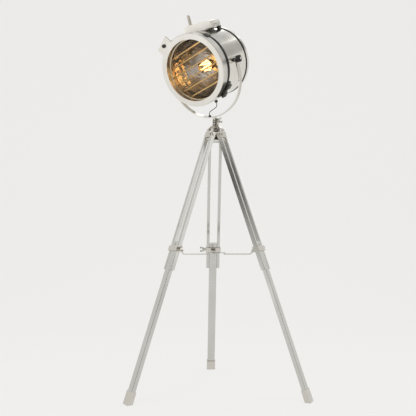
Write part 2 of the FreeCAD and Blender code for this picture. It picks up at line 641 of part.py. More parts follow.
def yoke():
    """The U-shaped band, its tongue in the fork and the grommet that the lead goes into."""
    radius = float(dim.yoke_radius)
    half = float(dim.band_thickness) / 2
    centre = float(dim.yoke_rise) + radius
    top = float(PIVOT_HEIGHT)
    width = float(dim.band_width)
    shapes = []
    profiles = []
    for offset in (half, -half):
        r = radius + offset
        profiles.append((r, [vector(-r, 0, top), vector(-r, 0, centre), vector(0, 0, centre - r),
                             vector(r, 0, centre), vector(r, 0, top)]))
    edges = []
    outer, inner = profiles[0][1], profiles[1][1]
    edges.append(Part.LineSegment(outer[0], outer[1]).toShape())
    edges.append(Part.Arc(outer[1], outer[2], outer[3]).toShape())
    edges.append(Part.LineSegment(outer[3], outer[4]).toShape())
    edges.append(Part.LineSegment(outer[4], inner[4]).toShape())
    edges.append(Part.LineSegment(inner[4], inner[3]).toShape())
    edges.append(Part.Arc(inner[3], inner[2], inner[1]).toShape())
    edges.append(Part.LineSegment(inner[1], inner[0]).toShape())
    edges.append(Part.LineSegment(inner[0], outer[0]).toShape())
    face = Part.Face(Part.Wire(edges))
    face.translate(vector(0, -width / 2, 0))
    band = face.extrude(vector(0, width, 0))
    for sign in (1, -1):
        eye = Part.makeCylinder(width / 2, 2 * half, vector(sign * radius - half, 0, top), AXIS_X)
        shapes.append(eye)
    band = band.fuse(shapes)
    bores = [Part.makeCylinder(float(dim.stud_radius + dim.pin_fit), 4 * radius, vector(-2 * radius, 0, top), AXIS_X)]
    band = band.cut(bores).removeSplitter()
    shape_node("yoke_band", band, YOKE_FRAME)
    tongue_neck = dim.yoke_rise - dim.band_thickness / 2 + dim.tongue_bite
    disc = cylinder("tongue_disc", dim.tongue_radius, dim.tongue_thickness, (-dim.tongue_thickness / 2, 0, 0), AXIS_X)
    neck = box("tongue_neck", (-dim.tongue_thickness / 2, -dim.tongue_radius * 0.7, 0),
               (dim.tongue_thickness / 2, dim.tongue_radius * 0.7, tongue_neck))
    hole = cylinder("tongue_hole", dim.knuckle_screw_radius + dim.screw_fit, dim.tongue_thickness * 3,
                    (-dim.tongue_thickness * 1.5, 0, 0), AXIS_X)
    node("yoke_tongue", cut("yoke_tongue", fuse("tongue_solid", [disc, neck]), [hole]), YOKE_FRAME)
    shape_node("lead_grommet", grommet_shape(), YOKE_FRAME)


def band_floor(offset):
    """Height of the band's inner face at a distance from the yoke's middle, in the yoke's frame."""
    inner = float(dim.yoke_radius - dim.band_thickness / 2)
    return float(dim.yoke_rise + dim.yoke_radius) - math.sqrt(inner ** 2 - float(offset) ** 2)


def grommet_shape():
    """A short turned collar standing on the band, cut to the band's curve."""
    offset = float(dim.grommet_offset)
    base = vector(-offset, 0, band_floor(offset) - 4)
    collar = Part.makeCylinder(float(dim.grommet_radius), float(dim.grommet_height) + 4, base, AXIS_Z)
    crown = Part.makeCone(float(dim.grommet_radius), float(dim.grommet_radius) - 1.5, 2.0,
                          vector(-offset, 0, band_floor(offset) + float(dim.grommet_height)), AXIS_Z)
    inner = Part.makeCylinder(float(dim.yoke_radius - dim.band_thickness / 2), 4 * float(dim.grommet_radius),
                              vector(0, -dim.grommet_radius * 2, dim.yoke_rise + dim.yoke_radius), AXIS_Y)
    return collar.common(inner).fuse(crown).removeSplitter()


def grommet_top():
    return vector(-dim.grommet_offset, 0, band_floor(dim.grommet_offset) + float(dim.grommet_height) + 2.0)


# ---------------------------------------------------------------- drum

def drum():
    front = dim.drum_front
    back = -dim.drum_back
    shell_radius = dim.drum_radius
    inside = shell_radius - dim.shell_wall
    shell = turned("drum_shell_turned", [
        (dim.mouth_radius, front),
        (shell_radius + dim.front_bead, front),
        (shell_radius + dim.front_bead, front - dim.front_bead_length),
        (shell_radius, front - dim.front_bead_length - dim.front_bead),
        (shell_radius, back + dim.rear_bead_length + dim.rear_bead),
        (shell_radius + dim.rear_bead, back + dim.rear_bead_length),
        (shell_radius + dim.rear_bead, back),
        (inside, back),
        (inside, front - dim.lip_thickness),
        (dim.mouth_radius, front - dim.lip_thickness),
    ])
    middle = -dim.vent_setback - dim.vent_depth / 2
    slot = box("drum_vent_slot", (-dim.vent_slot_width / 2, shell_radius * 0.7, middle - dim.vent_slot_depth / 2),
               (dim.vent_slot_width / 2, shell_radius * 1.1, middle + dim.vent_slot_depth / 2))
    node("drum_shell", cut("drum_shell", shell, [slot]), HEAD_FRAME)
    wall = dim.cover_wall
    outside = [(inside, back), (inside - 6, back - 3), (inside * 0.72, back - dim.rear_dome * 0.75),
               (dim.cover_flat, back - dim.rear_dome),
               (0, back - dim.rear_dome)]
    lining = [(radius, height + wall) for radius, height in reversed(outside[1:])]
    rim = [(inside - wall, back + wall), (inside - wall, back + dim.rear_seat), (inside, back + dim.rear_seat)]
    node("rear_cover", turned("rear_cover", outside + lining + rim), HEAD_FRAME)


def drum_skin(name):
    """The drum's outer cylinder, used to seat pieces on its curve."""
    return cylinder(name, dim.drum_radius, dim.drum_back + dim.drum_front, (0, 0, -dim.drum_back))


def tilt_pivots():
    """A boss with a stud on each side of the drum."""
    seat = dim.yoke_radius - dim.band_thickness / 2 - dim.pivot_gap
    pivots = []
    for side, sign, direction in (("right", 1, AXIS_X), ("left", -1, -AXIS_X)):
        boss = cylinder("pivot_boss_" + side, dim.pivot_radius, seat - dim.drum_radius * 0.9,
                        (dim.drum_radius * 0.9 * sign, 0, 0), direction)
        seated = cut("pivot_seat_" + side, boss, [drum_skin("pivot_skin_" + side)])
        stud = cylinder("pivot_stud_" + side, dim.stud_radius, dim.stud_length + 1,
                        ((seat - 1) * sign, 0, 0), direction)
        pivots.append(fuse("pivot_" + side, [seated, stud]))
    node("tilt_pivots", group("tilt_pivots", pivots), HEAD_FRAME)


def tilt_knob(side, sign):
    """A lobed knob on the stud outside the yoke."""
    name = "tilt_knob_" + side
    direction = AXIS_X * sign
    start = dim.yoke_radius + dim.band_thickness / 2 + dim.knob_gap
    body = cylinder(name + "_body", dim.knob_radius, dim.knob_length, (start * sign, 0, 0), direction)
    collar = cylinder(name + "_collar", dim.knob_radius * 0.62, dim.knob_length + 3, (start * sign, 0, 0), direction)
    tools = [cylinder(name + "_bore", dim.stud_radius + dim.pin_fit, dim.knob_length * 4,
                      ((start - dim.knob_length) * sign, 0, 0), direction)]
    lobes = int(round(dim.knob_lobes.number))
    for lobe in range(lobes):
        angle = FULL_TURN * lobe / lobes
        reach = float(dim.knob_radius) + float(dim.knob_scallop) * 0.55
        scallop = cylinder("%s_scallop_%d" % (name, lobe), dim.knob_scallop, dim.knob_length * 2,
                           ((start - dim.knob_length / 2) * sign, reach * cosine(angle), reach * sine(angle)),
                           direction)
        tools.append(scallop)
    scalloped = cut(name + "_scalloped", body, tools[1:])
    node(name, cut(name, fuse(name + "_solid", [scalloped, collar]), tools[:1]), HEAD_FRAME)


def vent():
    """The raised cowl over the drum's vent slot, on four feet."""
    half = dim.vent_width / 2
    low = dim.drum_radius + dim.vent_lift
    top = low + dim.vent_height
    front = -dim.vent_setback
    back = front - dim.vent_depth
    wall = dim.vent_wall
    shoulder = dim.vent_shoulder
    curve = shoulder * (1 - cosine(QUARTER / 2))
    body = doc.addObject("PartDesign::Body", "vent_outer")
    sketch = new_sketch(body, "vent_section", "XY_Plane")
    outline(sketch, [(-half, low), (half, low), (half, top - shoulder), (half - curve, top - curve),
                     (half - shoulder, top), (-half + shoulder, top), (-half + curve, top - curve),
                     (-half, top - shoulder)])
    bind(sketch, "AttachmentOffset.Base.z", back)
    pad = body.newObject("PartDesign::Pad", "vent_block")
    pad.Profile = sketch
    bind(pad, "Length", dim.vent_depth)
    hollow = box("vent_hollow", (-half + wall, low - 1, back + wall), (half - wall, top - shoulder, front - wall))
    crown = box("vent_crown_hollow", (-half + shoulder, low - 1, back + wall),
                (half - shoulder, top - wall, front - wall))
    tools = [hollow, crown]
    for row in range(2):
        for column in range(5):
            offset = (column - 2) * dim.vent_hole_pitch
            height = low + dim.vent_height * (0.12 + 0.24 * row)
            tools.append(cylinder("vent_hole_%d_%d" % (row, column), dim.vent_hole_radius, dim.vent_width * 2,
                                  (-dim.vent_width, height, (front + back) / 2 + offset), AXIS_X))
    node("vent_cowl", cut("vent_cowl", body, tools), HEAD_FRAME)
    feet = []
    foot = dim.vent_foot
    for x, x_name in ((half - foot, "right"), (-half, "left")):
        for z, z_name in ((front - foot, "front"), (back, "rear")):
            block = box("vent_foot_%s_%s" % (x_name, z_name), (x, dim.drum_radius * 0.8, z), (x + foot, low, z + foot))
            feet.append(cut("vent_seat_%s_%s" % (x_name, z_name), block,
                            [drum_skin("vent_skin_%s_%s" % (x_name, z_name))]))
    node("vent_feet", group("vent_feet", feet), HEAD_FRAME)
    handle = turned("aiming_handle", [
        (0, 0), (dim.handle_radius + 2, 0), (dim.handle_radius + 2, 2), (dim.handle_radius, 4),
        (dim.handle_radius, dim.handle_length - 5), (dim.handle_radius - 1.5, dim.handle_length - 2),
        (dim.handle_radius - 4, dim.handle_length), (0, dim.handle_length),
    ])
    node("aiming_handle", handle,
         HEAD_FRAME * shift(-dim.handle_offset, top, front - dim.handle_inset) * turn(AXIS_X, -QUARTER))


def gland():
    """The cable gland under the drum, local Z pointing down out of the drum."""
    ball = dim.gland_ball_radius
    flange = dim.gland_flange
    length = dim.gland_length
    shape = turned("cable_gland", [
        (0, 0), (dim.gland_flange_radius, 0), (dim.gland_flange_radius, flange - 1),
        (dim.gland_flange_radius - 1, flange), (ball - 2, flange), (ball - 2, flange + 2),
        (ball, flange + 5), (ball, flange + 9), (ball - 2, flange + 12), (dim.lead_radius + 1.2, length),
        (0, length),
    ])
    node("cable_gland", shape, gland_frame())


def gland_frame():
    return HEAD_FRAME * shift(0, -dim.drum_radius, -dim.gland_setback) * turn(AXIS_X, QUARTER)


def lead():
    """The lead from the gland to the yoke's grommet, leaving each along its axis."""
    start = gland_frame().multVec(vector(0, 0, dim.gland_length))
    out = gland_frame().multVec(vector(0, 0, dim.gland_length + dim.lead_lead_out))
    end = YOKE_FRAME.multVec(grommet_top())
    above = YOKE_FRAME.multVec(grommet_top() + vector(0, 0, dim.lead_lead_out))
    middle = (out + above) * 0.5 - vector(0, 0, dim.lead_sag)
    points = [start, out, middle, above, end]
    radii = []
    for index in range(1, len(points) - 1):
        back = points[index - 1].sub(points[index])
        ahead = points[index + 1].sub(points[index])
        half = (math.pi - back.getAngle(ahead)) / 2
        radii.append(0.45 * min(back.Length, ahead.Length) / math.tan(half))
    route = rounded_route(points, radii)
    shape = tube(route, dim.lead_radius)
    print("lead length", round(route.Length, 1), "radii", [round(r, 1) for r in radii],
          "volume ratio", round(shape.Volume / (math.pi * dim.lead_radius.number ** 2 * route.Length), 4))
    shape_node("lead", shape, FreeCAD.Placement())
    return points


def light():
    """Reflector, lamp holder and bulb."""
    front = dim.reflector_front
    vertex = front - dim.reflector_depth
    wall = dim.reflector_wall
    span = dim.reflector_radius - dim.reflector_hole
    mirror = []
    back = []
    for step in range(BOWL_STEPS + 1):
        angle = QUARTER * step / BOWL_STEPS
        radius = dim.reflector_hole + span * sine(angle)
        height = front - dim.reflector_depth * cosine(angle)
        mirror.append((radius, height))
        back.append((radius + wall * sine(angle), height - wall * cosine(angle)))
    # the last step's cosine is a rounding error away from the rim's own plane
    mirror[-1] = (dim.reflector_radius, front)
    back[-1] = (dim.reflector_radius + wall, front)
    node("reflector", turned("reflector", mirror + back[::-1]), HEAD_FRAME)
    seat = dim.cover_wall - dim.drum_back - dim.rear_dome
    holder_back = vertex - wall - dim.holder_length
    holder = turned("lamp_holder", [
        (0, seat), (dim.holder_stem_radius, seat), (dim.holder_stem_radius, holder_back),
        (dim.holder_radius, holder_back), (dim.holder_radius, vertex - wall),
        (dim.socket_radius, vertex - wall), (dim.socket_radius, vertex - wall - dim.socket_depth),
        (0, vertex - wall - dim.socket_depth),
    ])
    node("lamp_holder", holder, HEAD_FRAME)
    cap_bottom = vertex - wall - dim.socket_depth
    cap_top = cap_bottom + dim.cap_length
    cap = turned("bulb_cap", [(0, cap_bottom), (dim.cap_radius * 0.5, cap_bottom), (dim.cap_radius, cap_bottom + 5),
                              (dim.cap_radius, cap_top), (0, cap_top)])
    node("bulb_cap", cap, HEAD_FRAME)
    node("bulb_glass", turned("bulb_glass", bulb_outline(cap_top)), HEAD_FRAME)


def bulb_outline(base):
    """A thin round globe on a tapering neck that stands open on the cap."""
    centre = base + dim.bulb_length - dim.bulb_radius
    sides = []
    for offset in (as_size(0), dim.bulb_wall):
        radius = dim.bulb_radius - offset
        side = [(dim.bulb_neck_radius - offset, base)]
        for angle in GLOBE_ANGLES:
            side.append((radius * cosine(angle), centre + radius * sine(angle)))
        side.append((0, centre + radius))
        sides.append(side)
    return sides[0] + sides[1][::-1]


# ---------------------------------------------------------------- door

def door():
    front = dim.door_front
    back = front - dim.door_depth
    inner = dim.door_opening
    inner_back = front - dim.door_inner_depth
    ring = turned("door_ring_turned", [
        (inner, front), (dim.door_radius - dim.door_chamfer, front), (dim.door_radius, front - dim.door_chamfer),
        (dim.door_radius, back), (dim.door_radius - dim.door_wall, back),
        (dim.door_radius - dim.door_wall, front - dim.door_face),
        (inner + dim.door_inner_wall, front - dim.door_face),
        (inner + dim.door_inner_wall, inner_back), (inner, inner_back),
    ])
    half = dim.latch_width / 2
    tab_block = box("latch_tab_block", (dim.door_radius - dim.door_wall * 3, -half, front - dim.latch_thickness),
                    (dim.latch_reach, half, front))
    tab_hole = cylinder("latch_tab_hole", dim.latch_hole_radius, dim.latch_thickness * 3,
                        (dim.latch_screw_circle, 0, front - dim.latch_thickness * 2))
    tab = cut("latch_tab", tab_block, [tab_hole])
    tab.Placement = turn(AXIS_Z, dim.latch_angle)
    node("door_ring", fuse("door_ring", [ring, tab]), HEAD_FRAME)
    door_leaf(back)


def door_leaf(back):
    """The leaf on the door's side with the middle barrel of the hinge."""
    leaf_low = dim.hinge_plane + dim.barrel_radius + dim.barrel_gap
    arm_half = dim.barrel_length / 6 - dim.barrel_gap
    inside = dim.door_radius - dim.door_wall * 2
    leaf = box("door_leaf", (inside, -dim.barrel_length / 2, leaf_low),
               (dim.door_radius + dim.leaf_thickness, dim.barrel_length / 2, leaf_low + dim.leaf_length))
    arm = box("door_leaf_arm", (inside, -arm_half, back), (dim.hinge_circle, arm_half, leaf_low + 4))
    barrel = cylinder("door_barrel", dim.barrel_radius, arm_half * 2,
                      (dim.hinge_circle, -arm_half, dim.hinge_plane), AXIS_Y)
    bore = cylinder("door_barrel_bore", dim.hinge_bore + dim.pin_fit, dim.barrel_length * 2,
                    (dim.hinge_circle, -dim.barrel_length, dim.hinge_plane), AXIS_Y)
    side = cylinder("door_leaf_seat", dim.door_radius, dim.door_depth * 3, (0, 0, back - dim.door_depth))
    solid = fuse("door_leaf_solid", [leaf, arm, barrel])
    node("door_hinge_leaf", cut("door_hinge_leaf", solid, [bore, side]), HINGE_FRAME)


def drum_hinge():
    """The drum's hinge leaf with its two barrels, and the pin through all three."""
    third = dim.barrel_length / 3
    half = dim.barrel_length / 2
    leaf_top = dim.drum_front - dim.front_bead_length - dim.front_bead
    pieces = [box("drum_leaf", (dim.drum_radius * 0.95, -half, leaf_top - dim.leaf_length),
                  (dim.drum_radius + dim.front_bead + dim.leaf_thickness, half, leaf_top))]
    for side, start in (("low", -half), ("high", third / 2)):
        pieces.append(cylinder("drum_barrel_" + side, dim.barrel_radius, third,
                               (dim.hinge_circle, start, dim.hinge_plane), AXIS_Y))
        pieces.append(box("drum_leaf_arm_" + side, (dim.drum_radius + dim.front_bead + 0.5, start, leaf_top - 8),
                          (dim.hinge_circle + dim.barrel_radius, start + third, dim.hinge_plane)))
    bore = cylinder("drum_barrel_bore", dim.hinge_bore, dim.barrel_length * 2,
                    (dim.hinge_circle, -dim.barrel_length, dim.hinge_plane), AXIS_Y)
    solid = fuse("drum_hinge_solid", pieces)
    node("drum_hinge_leaf", cut("drum_hinge_leaf", solid, [bore, drum_skin("drum_hinge_skin")]), HINGE_FRAME)
    pin = cylinder("hinge_pin_shank", dim.hinge_bore, dim.barrel_length + 2,
                   (dim.hinge_circle, -half - 1, dim.hinge_plane), AXIS_Y)
    heads = []
    for side, start in (("low", -half - 3), ("high", half)):
        heads.append(cylinder("hinge_pin_head_" + side, dim.hinge_bore + 1.5, 3,
                              (dim.hinge_circle, start, dim.hinge_plane), AXIS_Y))
    node("hinge_pin", fuse("hinge_pin", [pin] + heads), HINGE_FRAME)


def latch():
    """The screw that holds the door shut, and the lug on the drum that it goes into."""
    front = dim.door_front
    top = dim.drum_front - 2
    half = dim.lug_block_width / 2
    block = box("latch_block", (dim.drum_radius * 0.9, -half, top - dim.lug_block_depth),
                (dim.lug_block_reach, half, top))
    hole = cylinder("latch_block_hole", dim.lug_hole_radius, dim.lug_block_depth * 2,
                    (dim.latch_screw_circle, 0, top - dim.lug_block_depth * 1.5))
    bead = cylinder("latch_bead", dim.drum_radius + dim.front_bead, dim.drum_front * 2, (0, 0, 0))
    node("latch_lug", cut("latch_lug", block, [hole, bead]), LATCH_FRAME)
    shank_end = top - dim.lug_block_depth * 0.45
    shank = cylinder("latch_shank", dim.latch_screw_radius, front - shank_end, (0, 0, shank_end - front))
    head = cylinder("latch_head", dim.latch_head_radius, dim.latch_head_height, (0, 0, 0.3))
    neck = cylinder("latch_neck", dim.latch_screw_radius, 1, (0, 0, -0.2))
    slot = box("latch_slot", (-dim.latch_head_radius * 2, -0.8, dim.latch_head_height - 1.2),
               (dim.latch_head_radius * 2, 0.8, dim.latch_head_height * 2))
    solid = fuse("latch_screw_solid", [shank, neck, head])
    node("latch_screw", cut("latch_screw", solid, [slot]), LATCH_FRAME * shift(dim.latch_screw_circle, 0, front))


def ring_clip():
    """A spring clip on the drum that reaches over the closed door's side."""
    frame = HEAD_FRAME * turn(AXIS_Z, dim.clip_angle)
    half = dim.clip_width / 2
    inner = dim.door_radius + dim.clip_gap
    back = dim.door_front - dim.door_depth
    strip = box("clip_strip", (inner, -half, back - dim.clip_length + dim.clip_overlap),
                (inner + dim.clip_thickness, half, back + dim.clip_overlap))
    root = box("clip_root", (dim.drum_radius * 0.9, -half, back - dim.clip_length + dim.clip_overlap),
               (inner + dim.clip_thickness, half, dim.drum_front - 1))
    bead = cylinder("clip_bead", dim.drum_radius + dim.front_bead, dim.drum_front * 2, (0, 0, 0))
    node("ring_clip", cut("ring_clip", fuse("clip_solid", [strip, root]), [bead]), frame)


def black_rings():
    """The gasket between drum and door, and the trim in front of the rear bead."""
    low = dim.drum_front
    outer = dim.gasket_outer
    gasket = turned("door_gasket", [
        (outer - dim.gasket_width, low), (outer, low), (outer, low + dim.gasket_height),
        (outer - dim.gasket_width, low + dim.gasket_height),
    ])
    node("door_gasket", gasket, HEAD_FRAME)
    back = dim.rear_bead_length + dim.rear_bead - dim.drum_back
    trim = turned("rear_trim", [
        (dim.drum_radius, back), (dim.drum_radius + dim.trim_height, back),
        (dim.drum_radius + dim.trim_height, back + dim.trim_width), (dim.drum_radius, back + dim.trim_width),
    ])
    node("rear_trim", trim, HEAD_FRAME)


def louvres():
    """The louvre insert: a rim seated behind the door's inner wall, with deep thin slats across it."""
    front = dim.grille_front
    back = front - dim.grille_depth
    rim_inner = dim.grille_rim_outer - dim.grille_rim_wall
    inner_back = dim.door_front - dim.door_inner_depth
    rim = turned("grille_rim", [
        (rim_inner, back), (dim.grille_rim_outer, back), (dim.grille_rim_outer, front),
        (dim.door_opening + dim.door_inner_wall, front), (dim.door_opening + dim.door_inner_wall, inner_back),
        (rim_inner, inner_back),
    ])
    node("grille_rim", rim, HEAD_FRAME * turn(AXIS_Z, dim.slat_turn))
    slats = []
    count = int(round(dim.slat_count.number))
    half = dim.slat_thickness / 2
    for index in range(count):
        level = (index - (count - 1) / 2) * dim.slat_pitch
        reach = math.sqrt(float(rim_inner - dim.slat_seat) ** 2 - (abs(level.number) + half.number) ** 2)
        slats.append(box("grille_slat_%d" % index, (-reach, level - half, back + 1), (reach, level + half, front - 1)))
    node("grille_slats", group("grille_slats", slats), HEAD_FRAME * turn(AXIS_Z, dim.slat_turn))


# ---------------------------------------------------------------- build

def build():
    hub()
    hinge_bolts()
    swivel()
    for number, azimuth in LEG_AZIMUTHS.items():
        leg(number, azimuth)
    spreader_ring()
    yoke()
    knuckle_reach = dim.fork_radius + dim.cheek_gap
    wing_screw("knuckle_screw", dim.knuckle_screw_radius, dim.fork_radius * 2 + dim.cheek_gap + 2,
               PAN_FRAME * shift(knuckle_reach, 0, 0) * turn(AXIS_Y, QUARTER) * turn(AXIS_Z, 30.0))
    drum()
    tilt_pivots()
    tilt_knob("right", 1)
    tilt_knob("left", -1)
    vent()
    gland()
    light()
    door()
    drum_hinge()
    latch()
    ring_clip()
    black_rings()
    louvres()
    route = lead()
    doc.recompute()
    return route


def check():
    """Stops on anything that failed to build."""
    for thing in doc.Objects:
        if "Invalid" in thing.State or "Error" in thing.State:
            raise ValueError("%s failed: %s" % (thing.Name, thing.State))
    for made in nodes:
        if made.Shape.isNull() or not made.Shape.isValid() or made.Shape.Volume <= 0:
            raise ValueError(made.Label + " has no valid solid")


def write():
    os.makedirs("parts", exist_ok=True)
    for made in nodes:
        made.Shape.exportStep(os.path.join("parts", made.Label + ".step"))


lead_route = build()
check()
write()
print(len(nodes), "nodes")
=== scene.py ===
import bpy, bmesh
import math
from mathutils import Matrix, Vector


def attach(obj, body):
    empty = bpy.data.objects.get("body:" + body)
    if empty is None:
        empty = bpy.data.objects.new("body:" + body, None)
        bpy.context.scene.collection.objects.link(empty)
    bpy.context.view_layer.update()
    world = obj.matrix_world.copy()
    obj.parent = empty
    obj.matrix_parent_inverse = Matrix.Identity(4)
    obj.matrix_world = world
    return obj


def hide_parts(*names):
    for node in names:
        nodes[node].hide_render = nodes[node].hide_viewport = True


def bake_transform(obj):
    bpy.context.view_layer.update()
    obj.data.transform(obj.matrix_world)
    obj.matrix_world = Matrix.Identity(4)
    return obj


# Looks of the searchlight floor lamp. Metres, in the CAD model's own frame.

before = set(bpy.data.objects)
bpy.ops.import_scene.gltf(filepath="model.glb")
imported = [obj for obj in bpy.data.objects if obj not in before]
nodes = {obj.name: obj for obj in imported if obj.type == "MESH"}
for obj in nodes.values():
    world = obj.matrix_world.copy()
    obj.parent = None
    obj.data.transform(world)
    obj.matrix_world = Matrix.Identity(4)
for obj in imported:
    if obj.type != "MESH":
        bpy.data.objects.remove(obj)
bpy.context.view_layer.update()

MM = 0.001
# the camera fitted to the photograph
FOCAL_PIXELS, FRAME_PIXELS, SENSOR = 531.2, 416, 36.0
CAMERA_PLACE = (-0.0342, -2.3625, 0.5897)
CAMERA_TURN = 2.75
CAMERA_RISE = 0.085
# the lamp's own sizes that the pieces below need, as in the CAD model
PAN, LEAN, TILT = 37.0, 25.0, 27.0
KNUCKLE_HEIGHT, PIVOT_HEIGHT = 1.186, 0.243
HINGE_RADIUS, HINGE_HEIGHT, LEG_SPLAY = 0.030, 1.117, 19
DRUM_RADIUS, GLAND_SETBACK = 0.1485, 0.038
SLATS, SLAT_PITCH, SLAT_TURN, RIM_INSIDE = 6, 0.036, 15, 0.1274
BULB_BASE = -71.5   # millimetres along the drum's axis, like the turned profiles


def turn(axis, degrees):
    return Matrix.Rotation(math.radians(degrees), 4, axis)


def shift(x, y, z):
    return Matrix.Translation((x, y, z))


def leg_frame(azimuth):
    return turn("Z", azimuth - 90) @ shift(0, HINGE_RADIUS, HINGE_HEIGHT) @ turn("X", LEG_SPLAY)


# X along the tilt axis, Y up, Z forward out of the drum's mouth
HEAD = (shift(0, 0, KNUCKLE_HEIGHT) @ turn("Z", -PAN) @ turn("X", LEAN)
        @ shift(0, 0, PIVOT_HEIGHT) @ turn("X", 90 - LEAN + TILT))
LEGS = {"1": leg_frame(90), "2": leg_frame(210), "3": leg_frame(330)}

# name, place, target, size, watts
LAMPS = [
    ("key", (-1.9, -1.7, 2.6), (0, 0, 1.2), (1.8, 1.8), 12),
    ("low_left", (-2.3, -1.1, 0.45), (0, 0, 1.4), (1.8, 1.2), 2.5),
    ("fill", (2.4, -1.1, 1.5), (0, 0, 1.1), (1.2, 2.2), 8),
    ("back", (0.8, 1.3, 2.9), (0, 0, 1.1), (1.6, 1.0), 6),
]
# colour of the studio by the height of the direction, from level to straight up
SKY = [(0.0, (0.40, 0.38, 0.35)), (0.10, (0.14, 0.13, 0.12)), (0.22, (0.30, 0.29, 0.28)),
       (0.45, (0.66, 0.65, 0.64)), (1.0, (1.0, 1.0, 1.0))]
SKY_STRENGTH = 0.62
PAINT = (0.86, 0.84, 0.81, 1)
PAINT_GLOW = (0.97, 0.965, 0.95, 1)
GLOW_SHARE = 0.78


# ---------------------------------------------------------------- camera, floor and light

def add(name, data):
    obj = bpy.data.objects.new(name, data)
    bpy.context.scene.collection.objects.link(obj)
    return obj


def camera():
    data = bpy.data.cameras.new("camera")
    data.sensor_width = SENSOR
    data.lens = FOCAL_PIXELS / FRAME_PIXELS * SENSOR
    data.dof.use_dof = False
    data.clip_end = 50
    cam = add("camera", data)
    cam.matrix_world = (turn("Z", -CAMERA_TURN) @ shift(*CAMERA_PLACE)
                        @ turn("X", 90 + math.degrees(CAMERA_RISE)))
    bpy.context.scene.camera = cam


def area(name, where, target, size, watts):
    data = bpy.data.lights.new(name, "AREA")
    data.shape = "RECTANGLE"
    data.size, data.size_y = size
    data.energy = watts
    lamp = add(name, data)
    lamp.location = where
    lamp.rotation_euler = (Vector(target) - Vector(where)).to_track_quat("-Z", "Y").to_euler()


def new_material(name):
    material = bpy.data.materials.new(name)
    material.use_nodes = True
    tree = material.node_tree
    return material, tree, tree.nodes["Principled BSDF"]


def ramp(tree, source, stops):
    node = tree.nodes.new("ShaderNodeValToRGB")
    elements = node.color_ramp.elements
    while len(elements) < len(stops):
        elements.new(0.5)
    for element, (place, color) in zip(elements, stops):
        element.position = place
        element.color = (*color, 1)
    tree.links.new(source, node.inputs["Fac"])
    return node.outputs["Color"]


def maths(tree, operation, *values):
    """A Math node fed with sockets or numbers."""
    node = tree.nodes.new("ShaderNodeMath")
    node.operation = operation
    for socket, value in zip(node.inputs, values):
        if isinstance(value, (int, float)):
            socket.default_value = value
        else:
            tree.links.new(value, socket)
    return node.outputs[0]


def studio():
    world = bpy.data.worlds.new("studio")
    bpy.context.scene.world = world
    world.use_nodes = True
    tree = world.node_tree
    background = tree.nodes["Background"]
    coordinates = tree.nodes.new("ShaderNodeTexCoord")
    split = tree.nodes.new("ShaderNodeSeparateXYZ")
    tree.links.new(coordinates.outputs["Generated"], split.inputs[0])
    tree.links.new(ramp(tree, split.outputs["Z"], SKY), background.inputs["Color"])
    background.inputs["Strength"].default_value = SKY_STRENGTH
    bpy.context.scene.view_settings.view_transform = "Standard"
    for lamp in LAMPS:
        area(*lamp)


def floor():
    """A pale sweep: floor, curve and wall in one sheet."""
    radius, front, back, side, top = 1.2, -30.0, 3.2, 30.0, 6.0
    steps = 16
    profile = [(front, 0.0)]
    for step in range(steps + 1):
        angle = math.pi / 2 * step / steps
        profile.append((back - radius + radius * math.sin(angle),
                        radius - radius * math.cos(angle)))
    profile.append((back, top))
    mesh = bpy.data.meshes.new("sweep")
    verts = [(x, y, z) for y, z in profile for x in (-side, side)]
    faces = [(2 * i, 2 * i + 1, 2 * i + 3, 2 * i + 2) for i in range(len(profile) - 1)]
    mesh.from_pydata(verts, [], faces)
    for polygon in mesh.polygons:
        polygon.use_smooth = True
    obj = add("sweep", mesh)
    obj.matrix_world = turn("Z", -CAMERA_TURN)
    material, tree, shader = new_material("sweep_paint")
    shader.inputs["Base Color"].default_value = PAINT
    shader.inputs["Roughness"].default_value = 0.8
    # seen directly, in metal or through glass, the paint is lifted towards its own pale colour
    rays = tree.nodes.new("ShaderNodeLightPath")
    indirect = maths(tree, "MAXIMUM", rays.outputs["Is Glossy Ray"],
                     rays.outputs["Is Transmission Ray"])
    seen = maths(tree, "MAXIMUM", rays.outputs["Is Camera Ray"], indirect)
    glow = tree.nodes.new("ShaderNodeEmission")
    glow.inputs["Color"].default_value = PAINT_GLOW
    mix = tree.nodes.new("ShaderNodeMixShader")
    tree.links.new(maths(tree, "MULTIPLY", seen, GLOW_SHARE), mix.inputs["Fac"])
    tree.links.new(shader.outputs["BSDF"], mix.inputs[1])
    tree.links.new(glow.outputs["Emission"], mix.inputs[2])
    tree.links.new(mix.outputs["Shader"], tree.nodes["Material Output"].inputs["Surface"])
    mesh.materials.append(material)


# ---------------------------------------------------------------- materials

def texture_space(tree, matrix=Matrix(), scale=(1, 1, 1)):
    """Coordinates in a sub-part's own frame, in metres, stretched by scale."""
    coordinates = tree.nodes.new("ShaderNodeTexCoord")
    move = tree.nodes.new("ShaderNodeMapping")
    move.vector_type = "TEXTURE"
    location, rotation, _ = matrix.decompose()
    move.inputs["Location"].default_value = location
    move.inputs["Rotation"].default_value = rotation.to_euler("XYZ")
    tree.links.new(coordinates.outputs["Object"], move.inputs["Vector"])
    stretch = tree.nodes.new("ShaderNodeMapping")
    stretch.inputs["Scale"].default_value = scale
    tree.links.new(move.outputs["Vector"], stretch.inputs["Vector"])
    return stretch.outputs["Vector"]


def spun_space(tree, matrix):
    """Coordinates of a turned sheet: distance from the axis, then height, so marks run round it."""
    split = tree.nodes.new("ShaderNodeSeparateXYZ")
    tree.links.new(texture_space(tree, matrix), split.inputs[0])
    x, y, z = split.outputs
    squares = maths(tree, "ADD", maths(tree, "MULTIPLY", x, x), maths(tree, "MULTIPLY", y, y))
    join = tree.nodes.new("ShaderNodeCombineXYZ")
    tree.links.new(maths(tree, "SQRT", squares), join.inputs["X"])
    tree.links.new(z, join.inputs["Y"])
    return join.outputs["Vector"]


